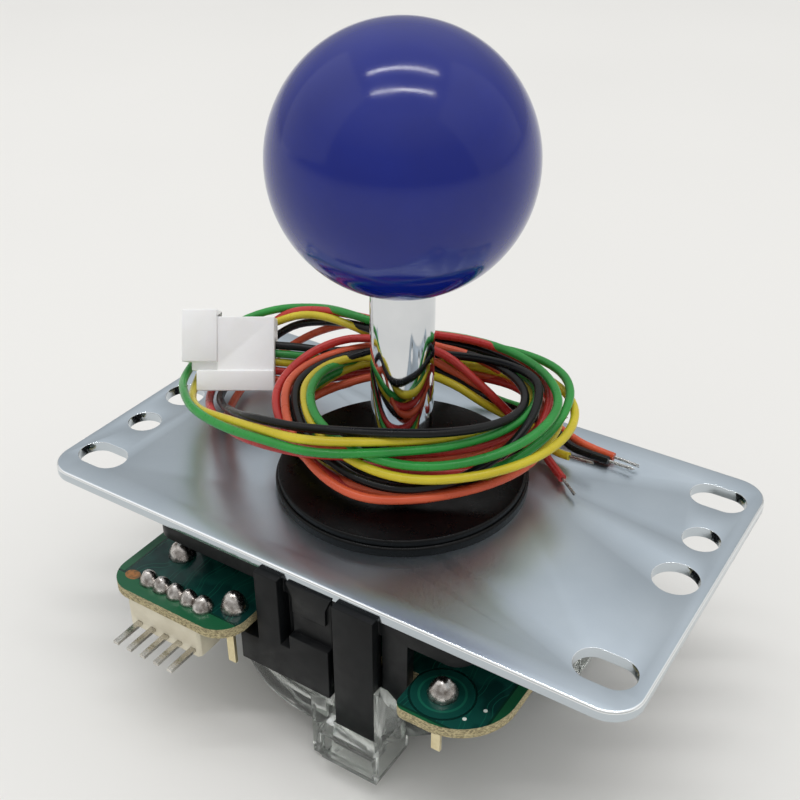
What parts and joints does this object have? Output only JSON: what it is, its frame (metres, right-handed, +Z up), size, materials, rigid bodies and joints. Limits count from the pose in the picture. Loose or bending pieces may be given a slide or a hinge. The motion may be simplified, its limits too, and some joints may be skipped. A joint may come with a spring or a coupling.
{
  "type": "arcade joystick lever",
  "caption": "Ball-topped arcade joystick lever on a slotted steel plate, with sprung pivot, four microswitches, clear square gate and looped wiring harness.",
  "frame": {"origin": "centre of the four plate slots on the plate's top face, on the lever's axis", "axes": "+Z up the lever, +X along the plate's long side, +Y away from the side that carries the pin header"},
  "size_m": [0.095, 0.0683, 0.0983],
  "materials": {
    "ball": "deep blue glossy moulded ball",
    "chrome": "bright chrome plate",
    "spring_steel": "spring steel",
    "nylon_white": "natural nylon",
    "black_plastic": "black moulding",
    "washer_plastic": "black, slightly scratched",
    "zinc_plate": "blue-grey zinc plate, satin",
    "screw_steel": "plated screws",
    "board": "green solder mask on tan laminate",
    "solder": "lumpy bright solder",
    "cream_plastic": "cream header housing",
    "tin": "tinned pins and strands",
    "switch_plastic": "black switch case",
    "plunger_plastic": "red plunger",
    "clear_plastic": "clear polycarbonate",
    "connector_nylon": "white nylon",
    "wire_coil": "coloured wire insulation in loops",
    "wire_black": "black insulation",
    "wire_green": "green insulation",
    "wire_yellow": "yellow insulation",
    "wire_red": "red insulation",
    "wire_orange": "orange-red insulation"
  },
  "bodies": {
    "base": {"mounting_plate": "zinc_plate", "main_body": "black_plastic", "body_screws": "screw_steel", "spring_bushing": "black_plastic", "circuit_board": "board", "solder_joints": "solder", "header_housing": "cream_plastic", "header_pins": "tin", "switch_terminals": "tin", "restrictor_gate": "clear_plastic", "microswitch_front": "switch_plastic", "microswitch_right": "switch_plastic", "microswitch_back": "switch_plastic", "microswitch_left": "switch_plastic", "connector_housing": "connector_nylon", "connector_contacts": "tin", "harness_coil": "wire_coil", "lead_black": "wire_black", "lead_green": "wire_green", "lead_yellow": "wire_yellow", "lead_red": "wire_red", "lead_orange": "wire_orange", "outer_loop_black": "wire_black", "outer_loop_green": "wire_green", "outer_loop_yellow": "wire_yellow", "outer_loop_red": "wire_red", "outer_loop_orange": "wire_orange", "tail_black": "wire_black", "tail_green": "wire_green", "tail_yellow": "wire_yellow", "tail_red": "wire_red", "tail_orange": "wire_orange", "bare_tip_black": "tin", "bare_tip_green": "tin", "bare_tip_yellow": "tin", "bare_tip_red": "tin", "bare_tip_orange": "tin"},
    "gimbal": {"return_spring": "spring_steel"},
    "lever_carrier": {"pivot_ball": "nylon_white", "spring_seat": "black_plastic", "actuator": "black_plastic"},
    "lever": {"lever_shaft": "chrome", "ball_top": "ball", "retaining_ring": "spring_steel"},
    "lower_washer": {"lower_dust_washer": "washer_plastic"},
    "upper_washer": {"upper_dust_washer": "washer_plastic"},
    "plunger_front": {"plunger_front": "plunger_plastic"},
    "plunger_right": {"plunger_right": "plunger_plastic"},
    "plunger_back": {"plunger_back": "plunger_plastic"},
    "plunger_left": {"plunger_left": "plunger_plastic"}
  },
  "joints": [
    {"name": "tilt_forward_back", "type": "hinge", "parent": "base", "child": "gimbal", "pos_m": [0, 0, -0.006], "axis": [1, 0, 0], "range_deg": [-10, 10], "stiffness_Nm_per_rad": 0.3},
    {"name": "tilt_left_right", "type": "hinge", "parent": "gimbal", "child": "lever_carrier", "pos_m": [0, 0, -0.006], "axis": [0, 1, 0], "range_deg": [-10, 10], "stiffness_Nm_per_rad": 0.3, "deforming": ["return_spring"]},
    {"name": "lever_spin", "type": "hinge", "parent": "lever_carrier", "child": "lever", "pos_m": [0, 0, -0.006], "axis": [0, 0, 1], "continuous": true},
    {"name": "lower_washer_slide", "type": "slide", "parent": "base", "child": "lower_washer", "axis": [0, 1, 0], "range_m": [-0.0015, 0.0015]},
    {"name": "upper_washer_slide", "type": "slide", "parent": "lower_washer", "child": "upper_washer", "axis": [1, 0, 0], "range_m": [-0.0015, 0.0015]},
    {"name": "press_front", "type": "slide", "parent": "base", "child": "plunger_front", "axis": [0, -1, 0], "range_m": [-0.0008, 0.0008]},
    {"name": "press_right", "type": "slide", "parent": "base", "child": "plunger_right", "axis": [1, 0, 0], "range_m": [-0.0008, 0.0008]},
    {"name": "press_back", "type": "slide", "parent": "base", "child": "plunger_back", "axis": [0, 1, 0], "range_m": [-0.0008, 0.0008]},
    {"name": "press_left", "type": "slide", "parent": "base", "child": "plunger_left", "axis": [-1, 0, 0], "range_m": [-0.0008, 0.0008]}
  ],
  "couplings": [
    {"joint": "lower_washer_slide", "follows": "tilt_forward_back", "m_per_rad": -0.00795},
    {"joint": "upper_washer_slide", "follows": "tilt_left_right", "m_per_rad": 0.00795},
    {"joint": "press_front", "follows": "tilt_forward_back", "m_per_rad": -0.004011},
    {"joint": "press_back", "follows": "tilt_forward_back", "m_per_rad": 0.004011},
    {"joint": "press_left", "follows": "tilt_left_right", "m_per_rad": 0.004011},
    {"joint": "press_right", "follows": "tilt_left_right", "m_per_rad": -0.004011}
  ]
}
